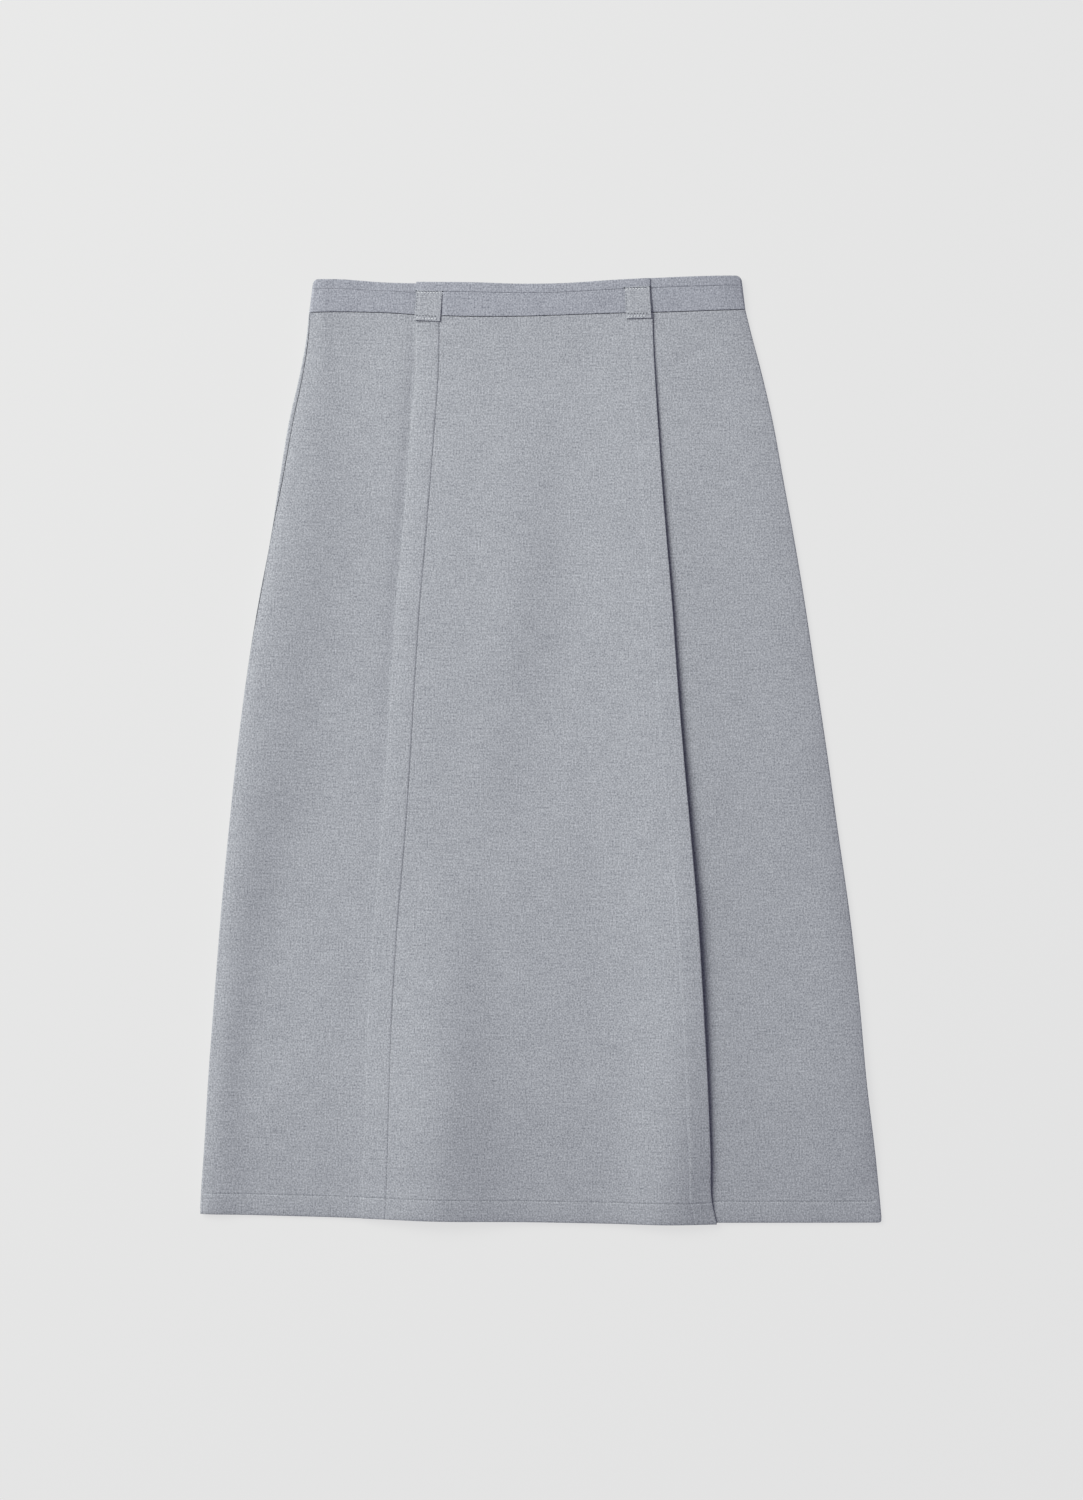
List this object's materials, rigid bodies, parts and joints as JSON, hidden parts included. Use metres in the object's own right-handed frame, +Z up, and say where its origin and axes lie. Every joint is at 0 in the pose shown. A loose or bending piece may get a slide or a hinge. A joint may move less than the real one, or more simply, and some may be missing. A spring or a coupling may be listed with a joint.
{
  "type": "wrap skirt",
  "caption": "Midi wrap skirt lying flat with its front up: lapped front, hidden underlap, waistband with rolled top facing, flat belt loops and stitched hem.",
  "frame": {"origin": "middle of the outline seen from above, on the surface that the skirt lies on", "axes": "+Y towards the waist, +X towards the wrap's free edge, +Z up, the way the front faces"},
  "size_m": [0.5662, 0.7882, 0.018],
  "materials": {
    "suiting": "matt plain weave, light blue-grey melange",
    "waistband_suiting": "matt plain weave, light blue-grey melange"
  },
  "bodies": {
    "root": {"back_panel": "suiting", "front_left": "suiting", "front_underlap": "suiting", "front_wrap": "suiting", "waistband_back": "waistband_suiting", "waistband_left": "waistband_suiting", "waistband_underlap": "waistband_suiting", "waistband_wrap": "waistband_suiting", "facing_left": "waistband_suiting", "facing_underlap": "waistband_suiting", "facing_wrap": "waistband_suiting", "belt_loop_left": "waistband_suiting", "belt_loop_right": "waistband_suiting"}
  },
  "joints": []
}
